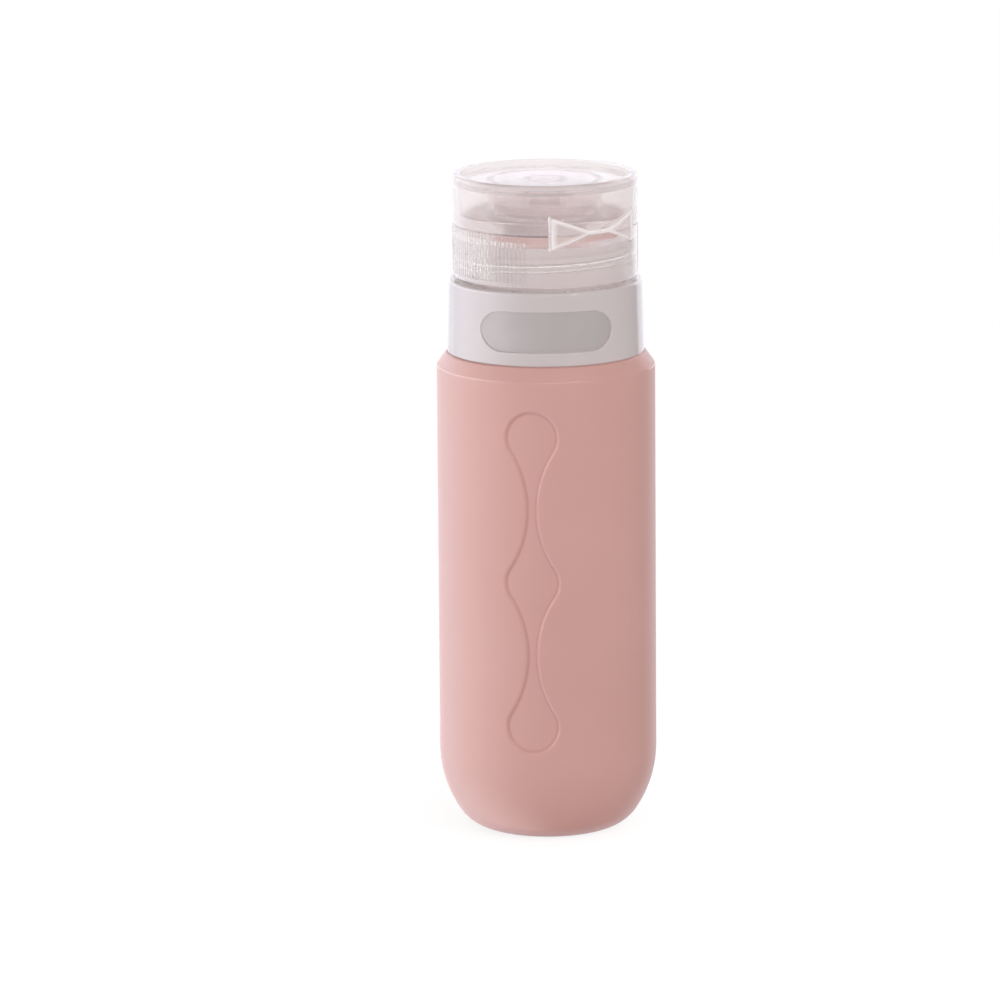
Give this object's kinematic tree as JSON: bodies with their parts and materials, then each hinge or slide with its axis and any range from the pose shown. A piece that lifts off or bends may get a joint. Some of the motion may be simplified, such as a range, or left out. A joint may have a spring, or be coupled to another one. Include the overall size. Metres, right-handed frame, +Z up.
{
  "type": "squeeze bottle",
  "caption": "Soft silicone travel squeeze bottle with a threaded neck, a turning window collar and a clear screw cap with a flip lid on a bow-tie living hinge.",
  "frame": {"origin": "centre of the flat foot, on the surface that the bottle stands on", "axes": "+Z up along the bottle's axis, -Y to the front, where the grip panel is"},
  "size_m": [0.041, 0.041, 0.125],
  "materials": {
    "pink_silicone": "matte dusty pink silicone with a soft sheen",
    "neck_plastic": "natural white moulded polypropylene",
    "label_grey": "plain grey band, left bare",
    "collar_plastic": "glossy translucent white plastic",
    "clear_plastic": "glossy clear polypropylene with a faint milky tint",
    "valve_silicone": "translucent natural silicone"
  },
  "bodies": {
    "bottle": {"silicone_bottle": "pink_silicone", "threaded_neck": "neck_plastic", "label_band": "label_grey"},
    "collar": {"window_collar": "collar_plastic"},
    "cap_carrier": {"valve_retainer": "neck_plastic"},
    "cap": {"cap_base": "clear_plastic", "dispensing_valve": "valve_silicone"},
    "lid": {"flip_lid": "clear_plastic"},
    "left_flap": {"hinge_flap_left": "clear_plastic"},
    "right_flap": {"hinge_flap_right": "clear_plastic"}
  },
  "joints": [
    {"name": "collar_turn", "type": "hinge", "parent": "bottle", "child": "collar", "pos_m": [0, 0, 0.0979], "axis": [0, 0, 1], "continuous": true},
    {"name": "cap_lift", "type": "slide", "parent": "bottle", "child": "cap_carrier", "axis": [0, 0, 1], "range_m": [0, 0.00375]},
    {"name": "cap_turn", "type": "hinge", "parent": "cap_carrier", "child": "cap", "pos_m": [0, 0, 0.11], "axis": [0, 0, 1], "range_deg": [0, 450]},
    {"name": "lid_flip", "type": "hinge", "parent": "cap", "child": "lid", "pos_m": [0.01289, -0.01368, 0.116], "axis": [0.7278, 0.6858, 0], "range_deg": [0, 180]},
    {"name": "left_flap_fold", "type": "hinge", "parent": "cap", "child": "left_flap", "pos_m": [0.01289, -0.01368, 0.116], "axis": [0.8659, 0.3959, 0.3057], "range_deg": [0, 95.97]},
    {"name": "right_flap_fold", "type": "hinge", "parent": "cap", "child": "right_flap", "pos_m": [0.01289, -0.01368, 0.116], "axis": [0.4465, 0.8409, -0.3057], "range_deg": [0, 95.97]}
  ],
  "couplings": [
    {"joint": "cap_lift", "follows": "cap_turn", "m_per_rad": 0.00047746},
    {"joint": "left_flap_fold", "follows": "lid_flip", "ratio": 0.53288},
    {"joint": "right_flap_fold", "follows": "lid_flip", "ratio": 0.53288}
  ]
}
